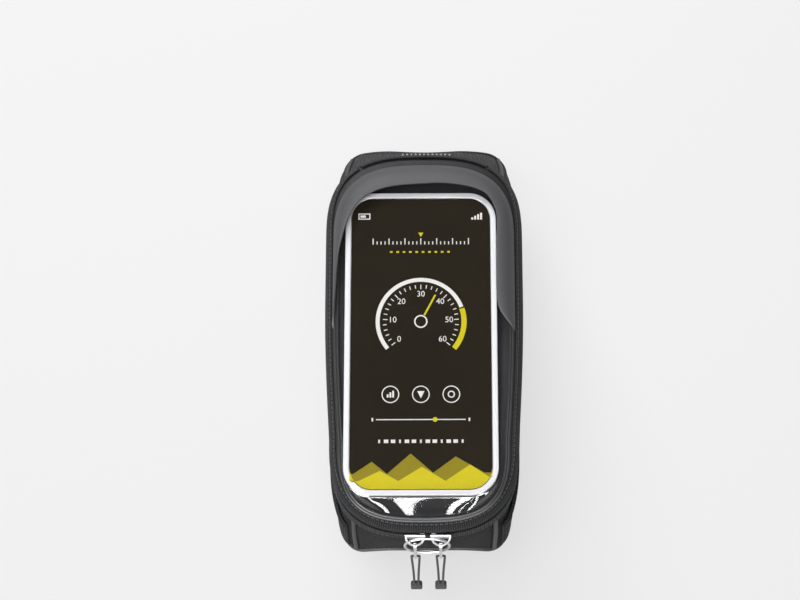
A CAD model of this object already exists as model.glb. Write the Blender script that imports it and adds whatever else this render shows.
"""Looks of the top tube phone bag: cloth, film, print, zip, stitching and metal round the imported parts.

Sizes are in millimetres and are multiplied by MM where meshes are made.
+Z is up, +Y is forward and +X is to the right, seen from behind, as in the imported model.
"""

import math
from contextlib import contextmanager

import bmesh
import bpy
import numpy as np
from mathutils import Matrix, Vector, noise


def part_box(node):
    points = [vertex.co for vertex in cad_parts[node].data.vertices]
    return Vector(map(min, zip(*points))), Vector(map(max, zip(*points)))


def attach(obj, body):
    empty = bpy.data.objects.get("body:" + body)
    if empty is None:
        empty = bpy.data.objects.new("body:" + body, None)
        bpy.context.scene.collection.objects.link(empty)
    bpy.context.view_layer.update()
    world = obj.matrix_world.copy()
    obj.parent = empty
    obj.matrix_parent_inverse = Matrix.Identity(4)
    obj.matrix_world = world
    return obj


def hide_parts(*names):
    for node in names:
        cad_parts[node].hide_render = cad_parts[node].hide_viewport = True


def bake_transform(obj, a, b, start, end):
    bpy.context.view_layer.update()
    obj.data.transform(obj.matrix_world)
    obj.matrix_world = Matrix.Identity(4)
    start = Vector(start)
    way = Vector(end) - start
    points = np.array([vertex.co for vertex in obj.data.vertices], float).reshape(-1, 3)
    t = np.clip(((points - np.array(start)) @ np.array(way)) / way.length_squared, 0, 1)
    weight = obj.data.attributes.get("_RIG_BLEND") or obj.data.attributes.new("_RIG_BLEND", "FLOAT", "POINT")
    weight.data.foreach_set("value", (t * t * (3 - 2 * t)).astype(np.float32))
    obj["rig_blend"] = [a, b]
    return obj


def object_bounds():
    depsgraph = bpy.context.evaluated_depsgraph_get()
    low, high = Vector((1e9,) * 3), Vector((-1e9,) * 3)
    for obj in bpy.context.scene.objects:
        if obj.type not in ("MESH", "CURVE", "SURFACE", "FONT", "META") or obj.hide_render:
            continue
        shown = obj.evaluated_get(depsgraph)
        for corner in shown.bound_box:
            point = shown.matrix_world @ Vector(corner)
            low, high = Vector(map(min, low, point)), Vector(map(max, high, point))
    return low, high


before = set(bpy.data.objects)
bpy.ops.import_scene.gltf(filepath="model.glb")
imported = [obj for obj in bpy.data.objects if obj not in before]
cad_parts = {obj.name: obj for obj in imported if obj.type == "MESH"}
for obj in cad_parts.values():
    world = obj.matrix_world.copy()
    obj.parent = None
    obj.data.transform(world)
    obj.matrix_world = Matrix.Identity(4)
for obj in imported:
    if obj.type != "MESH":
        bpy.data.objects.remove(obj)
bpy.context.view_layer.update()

MM = 0.001
SCENE = bpy.context.scene


def node_box(name):
    """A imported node's lowest and highest corner, in mm."""
    low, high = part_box(name)
    return Vector(low) / MM, Vector(high) / MM


# outline of the lid, of the window's piping in it, and of the base
PHONE_LOW, PHONE_HIGH = node_box("insert_frame")
LID_LENGTH = 195.0
FRONT_HALF, REAR_HALF = 50.2, 47.3
FRONT_RUN, REAR_RUN = 45.0, 46.0
FRONT_POWER, REAR_POWER = 2.8, 2.7
TAPER_START = 76.0
LID_MID_Y = -13.0
WINDOW_REAR_IN, WINDOW_FRONT_IN, WINDOW_SIDE_IN = 5.2, 10.4, 6.6
WINDOW_FRONT_RUN, WINDOW_REAR_RUN = 40.0, 38.0
WINDOW_FRONT_POWER, WINDOW_REAR_POWER = 2.9, 3.0
BASE_REAR_HALF, BASE_FRONT_HALF = 42.8, 45.2
BASE_REAR_BEYOND, BASE_FRONT_REACH, BASE_FRONT_HOLLOW = 1.4, 24.0, 2.0
BASE_REAR_RADIUS, BASE_FRONT_RADIUS, BASE_FRONT_POWER = 11.0, 11.0, 2.0
REAR_SEAM_X, FRONT_SEAM_X, BASE_FRONT_SEAM_X, HINGE_HALF = 36.0, 41.5, 40.5, 34.0

# heights
CROWN_HALF, CROWN_Z, ARCH_DROP = 15.0, 2.1, 11.0
RIM_Z = 53.1
LAND_Z = 13.0
WALL_INSET, WALL_BULGE = 1.2, 1.1
TIP_Y = LID_MID_Y - LID_LENGTH / 2.0
NOSE_Y = LID_MID_Y + LID_LENGTH / 2.0

# zip hardware and cords
SLIDER_X = {"left": -4.65, "right": 8.05}
BAIL_Y = TIP_Y - 5.65
TAB_LENGTH, TAB_TILT = 16.5, 10.8
RING_WIRE, RING_TILT = 1.4, 10.5
CORD_D, CORD_GAP, CORD_DROP, CORD_OUT = 1.2, 4.0, 34.0, 10.0

# camera
VIEW_DOWN = 75.0
LENS = 80.0
CAMERA_PLACE = (8.27, -225.9, 929.5)
CAMERA_SHIFT = -0.0525
CAMERA_YAW = -0.2


def place_camera():
    """Looks down from above and behind the bag."""
    data = bpy.data.cameras.new("camera")
    data.lens = LENS
    data.sensor_width = 36.0
    data.shift_x = CAMERA_SHIFT
    data.clip_start, data.clip_end = 0.05, 20.0
    camera = bpy.data.objects.new("camera", data)
    SCENE.collection.objects.link(camera)
    camera.location = Vector(CAMERA_PLACE) * MM
    camera.rotation_euler = (math.radians(90.0 - VIEW_DOWN), 0.0, math.radians(CAMERA_YAW))
    SCENE.camera = camera


place_camera()


# shader maths
def operator(name, turned=False):
    """A method that adds a Math node for one operator; turned puts the value second."""
    def method(self, other):
        return self.paint.maths(name, *((other, self) if turned else (self, other)))
    return method


class Value:
    """One output of a material's node, which takes part in Python's arithmetic."""

    __add__ = __radd__ = operator("ADD")
    __sub__ = operator("SUBTRACT")
    __rsub__ = operator("SUBTRACT", True)
    __mul__ = __rmul__ = operator("MULTIPLY")
    __truediv__ = operator("DIVIDE")
    __pow__ = operator("POWER")
    __gt__ = operator("GREATER_THAN")
    __lt__ = operator("LESS_THAN")
    at_least = operator("MAXIMUM")
    at_most = operator("MINIMUM")

    def __init__(self, paint, socket):
        self.paint, self.socket = paint, socket

    def wave(self, pitch):
        """From 0 to 1 and back once in each pitch."""
        return self.paint.maths("SINE", self * (2.0 * math.pi / pitch)) * 0.5 + 0.5

    def part(self, pitch):
        """How far through each pitch, from 0 to 1."""
        return self.paint.maths("FRACT", self / pitch)


class Paint:
    """A material with one Principled shader."""

    def __init__(self, name, colour, rough, metal=0.0):
        self.mat = bpy.data.materials.new(name)
        self.mat.use_nodes = True
        self.tree = self.mat.node_tree
        self.shader = self.tree.nodes["Principled BSDF"]
        self.set("Base Color", (*colour, 1.0))
        self.set("Roughness", rough)
        self.set("Metallic", metal)

    def put(self, socket, value):
        if isinstance(value, Value):
            self.tree.links.new(value.socket, socket)
        else:
            socket.default_value = value

    def set(self, name, value):
        self.put(self.shader.inputs[name], value)
        return self

    def node(self, kind, sockets, output=0, stops=None, **settings):
        made = self.tree.nodes.new(kind)
        for name, value in settings.items():
            setattr(made, name, value)
        if stops:
            ramp = made.color_ramp
            while len(ramp.elements) < len(stops):
                ramp.elements.new(0.5)
            for element, (place, colour) in zip(ramp.elements, stops):
                element.position, element.color = place, (*colour, 1.0)
        for name, value in sockets.items():
            self.put(made.inputs[name], value)
        return Value(self, made.outputs[output])

    def maths(self, operation, *values):
        return self.node("ShaderNodeMath", dict(enumerate(values)), operation=operation)

    def mix(self, factor, first, second):
        """A colour between two colours."""
        sides = {0: factor, 6: self.full(first), 7: self.full(second)}
        return self.node("ShaderNodeMix", sides, 2, data_type="RGBA")

    def full(self, colour):
        return colour if isinstance(colour, Value) else (*colour, 1.0)

    def place(self):
        return self.node("ShaderNodeTexCoord", {}, "Object")

    def axes(self, vector=None):
        """The x, y and z of a vector as three values, object coordinates in mm if none is given."""
        if vector is None:
            scale = {0: self.place(), "Scale": 1.0 / MM}
            vector = self.node("ShaderNodeVectorMath", scale, operation="SCALE")
        split = self.tree.nodes.new("ShaderNodeSeparateXYZ")
        self.put(split.inputs[0], vector)
        return [Value(self, out) for out in split.outputs]

    def cloth_axes(self):
        """Along and across the cloth, in mm, from its own UV map."""
        return self.axes(self.node("ShaderNodeUVMap", {}, uv_map="UVMap"))[:2]

    def noise(self, size, detail=2.0, rough=0.5):
        """Clouds of about that size in mm."""
        at = {"Vector": self.place(), "Scale": 1.0 / (size * MM), "Detail": detail, "Roughness": rough}
        return self.node("ShaderNodeTexNoise", at)

    def bump(self, height, depth, strength=1.0, after=None):
        sockets = {"Height": height, "Distance": depth * MM, "Strength": strength}
        if after is not None:
            sockets["Normal"] = after
        return self.node("ShaderNodeBump", sockets)

    def finish(self, colour=None, rough=None, normal=None):
        for name, value in (("Base Color", colour), ("Roughness", rough), ("Normal", normal)):
            if value is not None:
                self.set(name, value)
        return self.mat


def shade(colour, by):
    return tuple(min(1.0, c * by) for c in colour)


# finishes
CLOTH_GLOSS, PRINT_GLOSS = 0.08, 0.1
SLACK_FROM_Y, SLACK_RUN = -86.0, 6.0


def woven(name, colour, pitch, depth=0.12, rough=0.75, sheen=0.04, own_map=True):
    """Plain-weave cloth: threads over and under each other, slightly uneven."""
    paint = Paint(name, colour, rough).set("Sheen Weight", sheen).set("Specular IOR Level", CLOTH_GLOSS)
    u, v = paint.cloth_axes() if own_map else paint.axes()[:2]
    turn = ((u / (2 * pitch)).part(1.0) > 0.5) - ((v / (2 * pitch)).part(1.0) > 0.5)
    over = turn * turn
    warp = u.wave(pitch) * over
    weft = v.wave(pitch) * (1.0 - over)
    threads = warp + weft
    cloud = paint.noise(9.0, 3.0)
    fuzz = paint.noise(0.35, 2.0)
    tone = paint.mix(threads * 0.7 + fuzz * 0.3, shade(colour, 0.55), shade(colour, 1.35))
    tone = paint.mix(cloud * 0.5, tone, shade(colour, 0.8))
    height = threads + fuzz * 0.4
    return paint.finish(tone, rough + (cloud - 0.5) * 0.15, paint.bump(height, depth))


def spacer_mesh(name, colour, pitch):
    """Knitted mesh: staggered oval holes between raised knitted ribs."""
    paint = Paint(name, colour, 0.85).set("Sheen Weight", 0.05).set("Specular IOR Level", CLOTH_GLOSS)
    u, v = paint.cloth_axes()
    row = v / (pitch * 0.87)
    odd = ((row * 0.5).part(1.0) > 0.5) * 0.5
    x = (u / pitch + odd).part(1.0) - 0.5
    y = row.part(1.0) - 0.5
    away = (x * x * 1.25 + y * y) ** 0.5
    hole = 1.0 - ((away - 0.2) * 7.0).at_most(1.0)
    knit = paint.noise(0.4, 2.0)
    ribs = u.wave(pitch) * 0.5
    tone = paint.mix(knit * 0.5 + ribs, shade(colour, 0.7), shade(colour, 3.2))
    tone = paint.mix(hole, tone, shade(colour, 0.1))
    return paint.finish(tone, None, paint.bump((1.0 - hole) * 1.0 + ribs + knit * 0.3, 0.45))


def zip_tape(name, colour, light_from=-2.0, light_to=-1.0):
    """Woven tape with a chain of small crossed ribs along it and one lighter line of weave."""
    paint = Paint(name, colour, 0.8).set("Sheen Weight", 0.05).set("Specular IOR Level", CLOTH_GLOSS)
    u, v = paint.cloth_axes()
    twill = (u + v * 0.9).wave(2.3) - (u - v * 0.9).wave(2.3)
    ribs = twill * twill
    edge = v.wave(3.4)
    fuzz = paint.noise(0.3, 2.0)
    tone = paint.mix(ribs * 0.75 + fuzz * 0.25, shade(colour, 0.25), shade(colour, 4.0))
    line = (v > light_from) * (v < light_to)
    tone = paint.mix(line * (u.wave(1.1) * 0.4 + 0.6), tone, shade(colour, 5.0))
    return paint.finish(tone, None, paint.bump(ribs + edge * 0.3 + fuzz * 0.3, 0.2))


def grained(name, colour, rough, size=0.5, depth=0.05, cloud_size=18.0, spread=0.18, metal=0.0):
    """Moulded or coated stuff with a fine grain and a slightly uneven sheen."""
    paint = Paint(name, colour, rough, metal)
    grain = paint.noise(size, 3.0)
    cloud = paint.noise(cloud_size, 4.0, 0.6)
    tone = paint.mix(cloud, shade(colour, 1.0 - spread), shade(colour, 1.0 + spread))
    return paint.finish(tone, rough + (grain - 0.5) * 0.2 + (cloud - 0.5) * 0.12, paint.bump(grain, depth))


def clear_film():
    """Thin clear sheet that mirrors at a slant, most on its slack rear slope, and lets the rest through."""
    paint = Paint("clear_film", (0.95, 0.95, 0.95), 0.035, 1.0)
    slant = paint.node("ShaderNodeLayerWeight", {"Blend": 0.5}, "Facing")
    haze = paint.noise(14.0, 3.0)
    slack = ((SLACK_FROM_Y - paint.axes()[1]) / SLACK_RUN).at_least(0.0).at_most(1.0)
    gloss = slant ** 5.0 * 0.9 + 0.045 + (haze - 0.4).at_least(0.0) * 0.01
    paint.set("Alpha", gloss * (slack * 0.92 + 0.08))
    return paint.finish(None, haze * 0.04 + 0.015, paint.bump(paint.noise(30.0, 1.0), 0.1))


def brushed_zinc():
    paint = Paint("zinc_plate", (0.6, 0.6, 0.61), 0.3, 1.0)
    cloud = paint.noise(3.0, 3.0)
    fine = paint.noise(0.25, 2.0)
    tone = paint.mix(cloud, (0.48, 0.48, 0.49), (0.68, 0.68, 0.69))
    return paint.finish(tone, cloud * 0.2 + 0.22, paint.bump(fine, 0.015))


def braid():
    """Fine braided cord, its UV map running along and round it."""
    paint = Paint("black_cord", (0.02, 0.02, 0.021), 0.7)
    u, v = paint.cloth_axes()
    strands = (u + v * 1.2).wave(0.9).at_least((u - v * 1.2).wave(0.9))
    tone = paint.mix(strands, (0.006, 0.006, 0.006), (0.045, 0.045, 0.047))
    return paint.finish(tone, None, paint.bump(strands, 0.12))


def screen_glass():
    """The dark brown glass of the insert, a little warmer in its middle."""
    paint = Paint("dark_screen", (0.024, 0.019, 0.012), 0.12).set("Specular IOR Level", PRINT_GLOSS)
    cloud = paint.noise(60.0, 2.0)
    tone = paint.mix(cloud, (0.02, 0.0165, 0.011), (0.03, 0.0235, 0.016))
    return paint.finish(tone, paint.noise(8.0) * 0.06 + 0.1)


def ink(name, colour):
    """Printed colour, very slightly uneven."""
    paint = Paint(name, colour, 0.4).set("Specular IOR Level", PRINT_GLOSS)
    cloud = paint.noise(4.0, 2.0)
    return paint.finish(paint.mix(cloud, shade(colour, 0.94), shade(colour, 1.05)), cloud * 0.1 + 0.35)


FABRIC = woven("woven_fabric", (0.021, 0.021, 0.022), 0.55)
LINING = woven("lining", (0.045, 0.045, 0.048), 0.5, 0.05, 0.6, 0.02, False)
MESH = spacer_mesh("spacer_mesh", (0.026, 0.026, 0.028), 2.2)
TAPE = zip_tape("zip_tape", (0.024, 0.024, 0.026))
LID_TAPE = zip_tape("lid_tape", (0.024, 0.024, 0.026), 1.7, 2.5)
SHELL = grained("moulded_shell", (0.005, 0.005, 0.0055), 0.6, 0.7, 0.05)
COIL = grained("zip_coil", (0.014, 0.014, 0.015), 0.35, 0.4, 0.02)
PIPING = grained("piping", (0.018, 0.018, 0.019), 0.6, 0.5, 0.05)
RIM = grained("window_piping", (0.042, 0.042, 0.044), 0.35, 0.5, 0.03)
VISOR = grained("visor_sheet", (0.066, 0.066, 0.071), 0.6, 0.35, 0.02, 25.0, 0.08)
WHITE = grained("white_frame", (0.9, 0.9, 0.93), 0.3, 0.6, 0.01, 30.0, 0.02)
RUBBER = grained("rubber_pad", (0.02, 0.02, 0.02), 0.8, 0.5, 0.08)
FOAM = grained("foam", (0.06, 0.06, 0.06), 0.95, 0.5, 0.2)
BOARD = grained("board", (0.045, 0.045, 0.045), 0.7, 0.4, 0.04)
WEB = woven("webbing", (0.022, 0.022, 0.023), 0.9, 0.3, 0.85)
WEB_FLAT = woven("flat_webbing", (0.022, 0.022, 0.023), 0.9, 0.3, 0.85, 0.04, False)
THREAD = grained("thread", (0.075, 0.075, 0.08), 0.6, 0.3, 0.03)
PALE_THREAD = grained("pale_thread", (0.5, 0.5, 0.5), 0.6, 0.3, 0.03)
FILM = clear_film()
METAL = brushed_zinc()
CORD = braid()
GLASS = screen_glass()
INK_WHITE = ink("white_ink", (0.82, 0.8, 0.78))
INK_YELLOW = ink("yellow_ink", (0.66, 0.56, 0.012))
INK_OLIVE = ink("olive_ink", (0.29, 0.235, 0.01))


# shapes shared by the sewn pieces
def smooth(t):
    t = min(1.0, max(0.0, t))
    return t * t * (3.0 - 2.0 * t)


def lerp(a, b, t):
    return a + (b - a) * t


def arc(cx, cy, r, start, end, steps):
    turns = [math.radians(lerp(start, end, k / steps)) for k in range(steps + 1)]
    return [(cx + r * math.cos(a), cy + r * math.sin(a)) for a in turns]


class Outline:
    """A closed line round the bag, measured in mm along it from the middle of the rear."""

    def __init__(self, right_half):
        left = [(-x, y) for x, y in right_half[::-1]][1:-1]
        pts = np.array(right_half + left)
        self.points = np.vstack([pts, pts[:1]])
        steps = np.linalg.norm(np.diff(self.points, axis=0), axis=1)
        self.s = np.concatenate([[0.0], np.cumsum(steps)])
        self.length = float(self.s[-1])
        along = np.roll(pts, -1, axis=0) - np.roll(pts, 1, axis=0)
        along /= np.linalg.norm(along, axis=1)[:, None]
        out = np.stack([along[:, 1], -along[:, 0]], axis=1)
        self.out = np.vstack([out, out[:1]])

    def at(self, s, inset=0.0):
        s = s % self.length
        x, y = (np.interp(s, self.s, self.points[:, k]) for k in (0, 1))
        nx, ny = (np.interp(s, self.s, self.out[:, k]) for k in (0, 1))
        size = math.hypot(nx, ny)
        return float(x - inset * nx / size), float(y - inset * ny / size)

    def where_x(self, x, front):
        """How far along the right half the line reaches this x, at the rear or the front."""
        s = np.linspace(0.0, self.length / 2.0, 4000)
        inside = np.flatnonzero(np.interp(s, self.s, self.points[:, 0]) >= x)
        return float(s[inside[-1] if front else inside[0]])

    def where_y(self, y, right):
        """How far along the line this y is, on the right or the left."""
        s = np.linspace(0.0, self.length / 2.0, 3000)
        at = float(s[np.flatnonzero(np.interp(s, self.s, self.points[:, 1]) >= y)[0]])
        return at if right else self.length - at

    def ring(self, inset, z, count):
        return [(*self.at(self.length * k / count, inset), z) for k in range(count)]


def rounded_half(tip, nose, rear, front):
    """The right half of a level outline; rear and front are (half width, run, power)."""
    tail, head, full = tip + rear[1], nose - front[1], nose - TAPER_START
    out = []
    for k in range(91):
        a = math.radians(k)
        out.append((rear[0] * math.sin(a) ** (2 / rear[2]),
                    tail - rear[1] * max(0.0, math.cos(a)) ** (2 / rear[2])))
    for k in range(1, 60):
        y = lerp(tail, head, k / 60)
        t = math.sin(math.pi / 2 * min(1.0, (y - tail) / (full - tail)))
        out.append((lerp(rear[0], front[0], t), y))
    for k in range(91):
        a = math.radians(90 - k)
        out.append((front[0] * max(0.0, math.sin(a)) ** (2 / front[2]),
                    head + front[1] * max(0.0, math.cos(a)) ** (2 / front[2])))
    out[0], out[-1] = (0.0, tip), (0.0, nose)
    return out


def base_half():
    rear, front = TIP_Y - BASE_REAR_BEYOND, NOSE_Y + BASE_FRONT_REACH
    r0, r1 = BASE_REAR_RADIUS, BASE_FRONT_RADIUS
    out = [(x, rear) for x in np.linspace(0.0, BASE_REAR_HALF - r0, 30)]
    out += arc(BASE_REAR_HALF - r0, rear + r0, r0, -90, 0, 16)[1:]
    x0, y0 = out[-1]
    x1, y1 = BASE_FRONT_HALF, front - r1
    out += [(lerp(x0, x1, k / 60), lerp(y0, y1, k / 60)) for k in range(1, 60)]
    edge, power = x1 - r1, 2 / BASE_FRONT_POWER
    for k in range(17):
        a = math.radians(90.0 * k / 16)
        out.append((edge + r1 * max(0.0, math.cos(a)) ** power, y1 + r1 * math.sin(a) ** power))
    for k in range(1, 31):
        x = edge * (1.0 - k / 30)
        out.append((x, front - BASE_FRONT_HOLLOW * (1.0 - (x / edge) ** 2) ** 1.5))
    return [(float(x), float(y)) for x, y in out]


LID = Outline(rounded_half(TIP_Y, NOSE_Y, (REAR_HALF, REAR_RUN, REAR_POWER),
                           (FRONT_HALF, FRONT_RUN, FRONT_POWER)))
WINDOW = Outline(rounded_half(TIP_Y + WINDOW_REAR_IN, NOSE_Y - WINDOW_FRONT_IN,
                              (REAR_HALF - WINDOW_SIDE_IN, WINDOW_REAR_RUN, WINDOW_REAR_POWER),
                              (FRONT_HALF - WINDOW_SIDE_IN, WINDOW_FRONT_RUN, WINDOW_FRONT_POWER)))
BASE = Outline(base_half())

rear_top, rear_low = LID.where_x(REAR_SEAM_X, False), BASE.where_x(REAR_SEAM_X, False)
front_top, front_low = LID.where_x(FRONT_SEAM_X, True), BASE.where_x(BASE_FRONT_SEAM_X, True)
hinge_top = LID.where_x(HINGE_HALF, True)
TOP, LOW = LID.length, BASE.length
SEAMS_TOP = (-front_top, -rear_top, 0.0, rear_top, front_top, TOP / 2, TOP - front_top, TOP - rear_top, TOP)
SEAMS_LOW = (-front_low, -rear_low, 0.0, rear_low, front_low, LOW / 2, LOW - front_low, LOW - rear_low, LOW)


def arch(x):
    """Height of the base's underside: level along its middle and falling to the sides."""
    t = (abs(x) - CROWN_HALF) / (BASE_REAR_HALF - CROWN_HALF)
    return CROWN_Z - ARCH_DROP * (1.0 - math.cos(math.pi / 2 * min(1.0, max(0.0, t))) ** 1.3)


def wall_point(s_top, drop, lift):
    """A point of the bag's side, that far below the zip and lifted off the wall."""
    s_low = float(np.interp(s_top, SEAMS_TOP, SEAMS_LOW))
    tx, ty = LID.at(s_top, WALL_INSET - lift)
    bx, by = BASE.at(s_low, -lift)
    height = RIM_Z - arch(bx)
    v = drop / height if drop >= 0 else 1.0 + drop / height
    swell = WALL_BULGE * math.sin(math.pi * v) ** 1.5 if 0 < v < 1 else 0.0
    n = Vector((bx, by)) - Vector(BASE.at(s_low, 1.0 - lift))
    n.normalize()
    return Vector((lerp(tx, bx, v) + n.x * swell, lerp(ty, by, v) + n.y * swell, RIM_Z - v * height))


# making pieces
def add(name, mesh, body, finish):
    piece = bpy.data.objects.new(name, mesh)
    SCENE.collection.objects.link(piece)
    piece.data.materials.append(finish)
    if body:
        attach(piece, body)
    return piece


def only(piece):
    bpy.ops.object.select_all(action="DESELECT")
    piece.select_set(True)
    bpy.context.view_layer.objects.active = piece


def apply(piece, kind, **settings):
    """One modifier, set and applied."""
    mod = piece.modifiers.new(kind.lower(), kind)
    for name, value in settings.items():
        setattr(mod, name, value)
    only(piece)
    bpy.ops.object.modifier_apply(modifier=mod.name)
    return piece


def bevelled(piece, width, segments, angle):
    """Edges sharper than the angle are rounded."""
    return apply(piece, "BEVEL", width=width * MM, segments=segments, limit_method="ANGLE",
                 angle_limit=math.radians(angle))


def stands_for(piece, slot, *nodes):
    """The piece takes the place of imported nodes."""
    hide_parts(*nodes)


def shaded(piece, angle=40.0):
    only(piece)
    bpy.ops.object.shade_smooth_by_angle(angle=math.radians(angle))
    return piece


@contextmanager
def welded(mesh, gap):
    """The mesh open for bmesh operators, its doubles merged."""
    opened = bmesh.new()
    opened.from_mesh(mesh)
    bmesh.ops.remove_doubles(opened, verts=opened.verts, dist=gap)
    yield opened
    opened.to_mesh(mesh)
    opened.free()


@contextmanager
def edit_mode(piece):
    only(piece)
    bpy.ops.object.mode_set(mode="EDIT")
    yield
    bpy.ops.object.mode_set(mode="OBJECT")


@contextmanager
def editing(piece, kind):
    """The piece's mesh with nothing selected, for choosing what the next operator acts on."""
    only(piece)
    bpy.ops.object.mode_set(mode="EDIT")
    bpy.ops.mesh.select_mode(type=kind)
    bpy.ops.mesh.select_all(action="DESELECT")
    mesh = bmesh.from_edit_mesh(piece.data)
    yield mesh
    mesh.select_flush_mode()
    bmesh.update_edit_mesh(piece.data)
    bpy.ops.object.mode_set(mode="OBJECT")


def softened(node, name, body, finish, width, slot):
    """A smooth-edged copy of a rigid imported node, which it replaces."""
    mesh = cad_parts[node].data.copy()
    mesh.name = name
    with welded(mesh, 2e-6) as solid:
        bmesh.ops.dissolve_limit(solid, angle_limit=math.radians(1.5), verts=solid.verts, edges=solid.edges)
    mesh.materials.clear()
    for key in [a.name for a in mesh.attributes if a.name == "custom_normal"]:
        mesh.attributes.remove(mesh.attributes[key])
    piece = add(name, mesh, body, finish)
    if width:
        bevelled(piece, width, 3, 35.0)
    shaded(piece)
    stands_for(piece, slot, node)
    return piece


def cloth(name, rows, body, finish, thick=0.0, wrap=False, roll=0.0, capped=False):
    """A sewn piece from rows of points, each row further up or further in; its UV map is in mm."""
    wide = len(rows[0])
    grid = np.array([[tuple(p) for p in row] for row in rows], float)
    turns = wide if wrap else wide - 1
    ring = np.concatenate([grid, grid[:, :1]], axis=1) if wrap else grid
    u = np.concatenate([[0.0], np.cumsum(np.linalg.norm(np.diff(ring, axis=1), axis=2).max(axis=0))])
    v = np.concatenate([[0.0], np.cumsum(np.linalg.norm(np.diff(grid, axis=0), axis=2).mean(axis=1))])
    faces, uvs = [], []
    for j in range(len(rows) - 1):
        for i in range(turns):
            k = (i + 1) % wide
            faces.append((j * wide + i, j * wide + k, (j + 1) * wide + k, (j + 1) * wide + i))
            uvs += [(u[i], v[j]), (u[i + 1], v[j]), (u[i + 1], v[j + 1]), (u[i], v[j + 1])]
    if capped:
        last = (len(rows) - 1) * wide
        faces.append(tuple(range(last, last + wide)))
        uvs += [(p[0], p[1]) for p in grid[-1]]
    mesh = bpy.data.meshes.new(name)
    mesh.from_pydata((grid.reshape(-1, 3) * MM).tolist(), [], faces)
    layer = mesh.uv_layers.new(name="UVMap")
    layer.data.foreach_set("uv", np.array(uvs, np.float32).ravel())
    piece = add(name, mesh, body, finish)
    if thick:
        apply(piece, "SOLIDIFY", thickness=thick * MM, offset=-1.0, use_even_offset=True)
    if roll:
        bevelled(piece, roll, 2, 50.0)
    return shaded(piece, 55.0)


def thickened(piece, thick, roll, segments):
    """A sheet given half its thickness to each side, with rolled edges."""
    apply(piece, "SOLIDIFY", thickness=thick * MM, offset=0.0, use_even_offset=True)
    bevelled(piece, roll, segments, 50.0)
    return shaded(piece, 50.0)


def tube(name, line, radius, body, finish, closed=False, sides=10):
    """A round tube along a line, as one closed mesh with its UV map along and round it."""
    pts = np.array([tuple(p) for p in line], float)
    if closed:
        along = np.roll(pts, -1, axis=0) - np.roll(pts, 1, axis=0)
    else:
        along = np.gradient(pts, axis=0)
    along /= np.linalg.norm(along, axis=1)[:, None]
    side = Vector((0, 0, 1)) if abs(along[0][2]) < 0.9 else Vector((1, 0, 0))
    rows = []
    for p, t in zip(pts, along):
        t = Vector(t)
        side = (side - t * side.dot(t)).normalized()
        other = t.cross(side)
        turns = [2 * math.pi * k / sides for k in range(sides)]
        rows.append([Vector(p) + (side * math.cos(a) + other * math.sin(a)) * radius for a in turns])
    if closed:
        rows.append(rows[0])
    piece = cloth(name, rows, None, finish, 0.0, True)
    with welded(piece.data, 1e-7) as mesh:
        if not closed:
            bmesh.ops.holes_fill(mesh, edges=mesh.edges)
        bmesh.ops.recalc_face_normals(mesh, faces=mesh.faces)
    shaded(piece, 50.0)
    if body:
        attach(piece, body)
    return piece


def joined(piece, *others):
    """Several pieces made into one."""
    only(piece)
    for other in others:
        other.select_set(True)
    bpy.ops.object.join()
    return piece


def copies(name, model, places, body, finish):
    """Many copies of one small model, each with its own matrix, as one piece."""
    base = np.array([tuple(v.co) for v in model.data.vertices])
    polys = [tuple(p.vertices) for p in model.data.polygons]
    points, faces = [], []
    for place in places:
        m = np.array(place)
        faces += [tuple(i + len(points) * len(base) for i in p) for p in polys]
        points.append(base @ m[:3, :3].T + m[:3, 3])
    bpy.data.objects.remove(model)
    mesh = bpy.data.meshes.new(name)
    mesh.from_pydata(np.concatenate(points).tolist(), [], faces)
    return shaded(add(name, mesh, body, finish))


def facing(place, along, up):
    """A matrix at a place in mm whose x runs along and whose z is as near up as can be."""
    x = Vector(along).normalized()
    y = Vector(up).cross(x).normalized()
    z = x.cross(y)
    turn = Matrix((x, y, z)).transposed().to_4x4()
    return Matrix.Translation(Vector(place) * MM) @ turn


def spaced(line, pitch):
    """Points and directions that lie one pitch apart along a line, with the line's own extra values."""
    pts = np.array([tuple(p) for p in line], float)
    steps = np.linalg.norm(np.diff(pts[:, :3], axis=0), axis=1)
    s = np.concatenate([[0.0], np.cumsum(steps)])
    count = int(s[-1] / pitch)
    at = (np.arange(count) + 0.5) * s[-1] / count
    found = np.stack([np.interp(at, s, pts[:, k]) for k in range(pts.shape[1])], axis=1)
    ahead = np.stack([np.interp(at + 0.1, s, pts[:, k]) for k in range(3)], axis=1)
    behind = np.stack([np.interp(at - 0.1, s, pts[:, k]) for k in range(3)], axis=1)
    return found, ahead - behind


def stitches(name, lines, body, pitch=2.6, long=1.9, width=0.42, finish=THREAD):
    """Rows of sewn thread. Each line's points are (place, outward direction)."""
    bpy.ops.mesh.primitive_uv_sphere_add(segments=8, ring_count=5, radius=0.5 * MM)
    model = bpy.context.object
    model.data.transform(Matrix.Diagonal((long, width, width * 0.8, 1.0)))
    places = []
    for line in lines:
        found, along = spaced([(*p, *n) for p, n in line], pitch)
        places += [facing(row[:3], t, row[3:6]) for row, t in zip(found, along)]
    return copies(name, model, places, body, finish)


def wall_line(s0, s1, drop, lift, count=120):
    """A line along the bag's side, with the directions that point away from it."""
    out = []
    for k in range(count + 1):
        s = lerp(s0, s1, k / count)
        p = wall_point(s, drop, lift)
        out.append((p, wall_point(s, drop, lift + 1.0) - p))
    return out


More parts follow.
